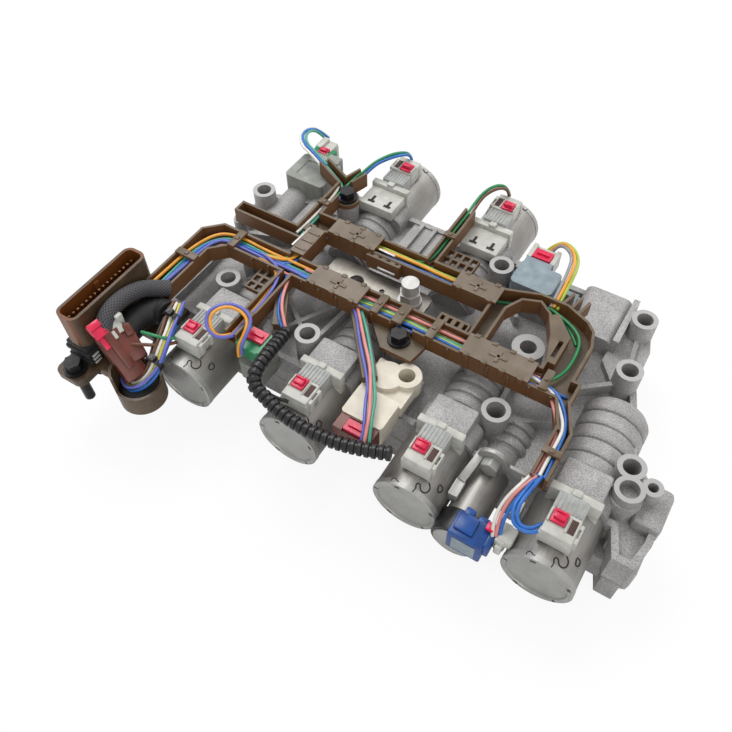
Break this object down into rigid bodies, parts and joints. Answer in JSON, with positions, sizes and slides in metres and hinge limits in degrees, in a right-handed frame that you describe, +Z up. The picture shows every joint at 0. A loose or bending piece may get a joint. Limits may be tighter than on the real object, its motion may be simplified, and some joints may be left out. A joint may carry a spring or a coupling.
{
  "type": "transmission valve body",
  "caption": "Hydraulic transmission valve body: die-cast halves, solenoid cans along both long sides, sensors and a moulded wiring frame with a case connector.",
  "frame": {"origin": "a point on the flat underside of the lower casting, under the middle of the solenoid rows", "axes": "+X along the long side, away from the case connector; +Y across, from the row of four solenoids to the row of two; +Z up, from the underside to the wiring frame"},
  "size_m": [0.3152, 0.248, 0.08],
  "materials": {
    "cast_alloy": "die-cast, fine sand-like texture",
    "plate_steel": "zinc-plated sheet",
    "can_steel": "plated, drawn",
    "valve_alloy": "hard anodised",
    "spring_steel": "wire",
    "frame_plastic": "glass-filled nylon",
    "cover_plastic": "glass-filled nylon",
    "ivory_plastic": "moulded",
    "red_plastic": "moulded",
    "connector_plastic": "moulded",
    "lever_plastic": "moulded",
    "black_plastic": "moulded",
    "black_steel": "black phosphate",
    "pin_metal": "tin-plated",
    "collar_rubber": "soft",
    "cream_plastic": "moulded",
    "sensor_plastic": "moulded",
    "grey_plastic": "moulded",
    "green_plastic": "moulded",
    "blue_plastic": "moulded",
    "sleeve_braid": "braided",
    "wire_insulation": "coloured wires"
  },
  "bodies": {
    "valve_body": {"braided_sleeve": "sleeve_braid", "centre_plate": "plate_steel", "centre_stud": "plate_steel", "conduit": "black_plastic", "connector_bolts": "black_steel", "connector_collar": "collar_rubber", "connector_pins": "pin_metal", "connector_shroud": "connector_plastic", "frame_bolts": "black_steel", "harness_frame": "frame_plastic", "harness_wires": "wire_insulation", "lever_plug": "lever_plastic", "lower_casting": "cast_alloy", "pressure_sensor": "cream_plastic", "pressure_switch": "grey_plastic", "rail_covers": "cover_plastic", "retaining_straps": "plate_steel", "return_springs": "spring_steel", "sensor_plug": "lever_plastic", "separator_plate": "plate_steel", "side_plug": "ivory_plastic", "side_valve": "grey_plastic", "small_solenoid": "can_steel", "small_solenoid_head": "blue_plastic", "small_solenoid_plug": "ivory_plastic", "solenoid_back_1": "can_steel", "solenoid_back_2": "can_steel", "solenoid_front_1": "can_steel", "solenoid_front_2": "can_steel", "solenoid_front_3": "can_steel", "solenoid_front_4": "can_steel", "solenoid_plugs": "ivory_plastic", "solenoid_towers": "ivory_plastic", "speed_sensor": "sensor_plastic", "speed_sensor_plug": "ivory_plastic", "switch_plug": "green_plastic", "upper_casting": "cast_alloy", "wire_cup": "cover_plastic"},
    "spool_front_1": {"spool_front_1": "valve_alloy"},
    "spool_front_2": {"spool_front_2": "valve_alloy"},
    "spool_front_3": {"spool_front_3": "valve_alloy"},
    "spool_front_4": {"spool_front_4": "valve_alloy"},
    "spool_back_1": {"spool_back_1": "valve_alloy"},
    "spool_back_2": {"spool_back_2": "valve_alloy"},
    "lock_front_1": {"lock_front_1": "red_plastic"},
    "lock_front_2": {"lock_front_2": "red_plastic"},
    "lock_front_3": {"lock_front_3": "red_plastic"},
    "lock_front_4": {"lock_front_4": "red_plastic"},
    "lock_back_1": {"lock_back_1": "red_plastic"},
    "lock_back_2": {"lock_back_2": "red_plastic"},
    "sensor_lock": {"sensor_lock": "red_plastic"},
    "small_solenoid_lock": {"small_solenoid_lock": "red_plastic"},
    "switch_lock": {"switch_lock": "red_plastic"},
    "lever_lock": {"lever_lock": "red_plastic"},
    "side_lock": {"side_lock": "red_plastic"},
    "speed_sensor_lock": {"speed_sensor_lock": "red_plastic"}
  },
  "joints": [
    {"name": "spool_front_1_slide", "type": "slide", "parent": "valve_body", "child": "spool_front_1", "axis": [0, 1, 0], "range_m": [0, 0.003], "stiffness_N_per_m": 900, "deforming": ["return_springs"]},
    {"name": "spool_front_2_slide", "type": "slide", "parent": "valve_body", "child": "spool_front_2", "axis": [0, 1, 0], "range_m": [0, 0.003], "stiffness_N_per_m": 900, "deforming": ["return_springs"]},
    {"name": "spool_front_3_slide", "type": "slide", "parent": "valve_body", "child": "spool_front_3", "axis": [0, 1, 0], "range_m": [0, 0.003], "stiffness_N_per_m": 900, "deforming": ["return_springs"]},
    {"name": "spool_front_4_slide", "type": "slide", "parent": "valve_body", "child": "spool_front_4", "axis": [0, 1, 0], "range_m": [0, 0.003], "stiffness_N_per_m": 900, "deforming": ["return_springs"]},
    {"name": "spool_back_1_slide", "type": "slide", "parent": "valve_body", "child": "spool_back_1", "axis": [0, -1, 0], "range_m": [0, 0.003], "stiffness_N_per_m": 900, "deforming": ["return_springs"]},
    {"name": "spool_back_2_slide", "type": "slide", "parent": "valve_body", "child": "spool_back_2", "axis": [0, -1, 0], "range_m": [0, 0.003], "stiffness_N_per_m": 900, "deforming": ["return_springs"]},
    {"name": "lock_front_1_slide", "type": "slide", "parent": "valve_body", "child": "lock_front_1", "axis": [0, -1, 0], "range_m": [0, 0.0025]},
    {"name": "lock_front_2_slide", "type": "slide", "parent": "valve_body", "child": "lock_front_2", "axis": [0, -1, 0], "range_m": [0, 0.0025]},
    {"name": "lock_front_3_slide", "type": "slide", "parent": "valve_body", "child": "lock_front_3", "axis": [0, -1, 0], "range_m": [0, 0.0025]},
    {"name": "lock_front_4_slide", "type": "slide", "parent": "valve_body", "child": "lock_front_4", "axis": [0, -1, 0], "range_m": [0, 0.0025]},
    {"name": "lock_back_1_slide", "type": "slide", "parent": "valve_body", "child": "lock_back_1", "axis": [0, 1, 0], "range_m": [0, 0.0025]},
    {"name": "lock_back_2_slide", "type": "slide", "parent": "valve_body", "child": "lock_back_2", "axis": [0, 1, 0], "range_m": [0, 0.0025]},
    {"name": "sensor_lock_slide", "type": "slide", "parent": "valve_body", "child": "sensor_lock", "axis": [0, -1, 0], "range_m": [0, 0.0025]},
    {"name": "small_solenoid_lock_slide", "type": "slide", "parent": "valve_body", "child": "small_solenoid_lock", "axis": [0, -1, 0], "range_m": [0, 0.0025]},
    {"name": "switch_lock_slide", "type": "slide", "parent": "valve_body", "child": "switch_lock", "axis": [0, -1, 0], "range_m": [0, 0.0025]},
    {"name": "lever_lock_slide", "type": "slide", "parent": "valve_body", "child": "lever_lock", "axis": [0, -1, 0], "range_m": [0, 0.0025]},
    {"name": "side_lock_slide", "type": "slide", "parent": "valve_body", "child": "side_lock", "axis": [0, 1, 0], "range_m": [0, 0.0025]},
    {"name": "speed_sensor_lock_slide", "type": "slide", "parent": "valve_body", "child": "speed_sensor_lock", "axis": [0, 1, 0], "range_m": [0, 0.0025]}
  ]
}
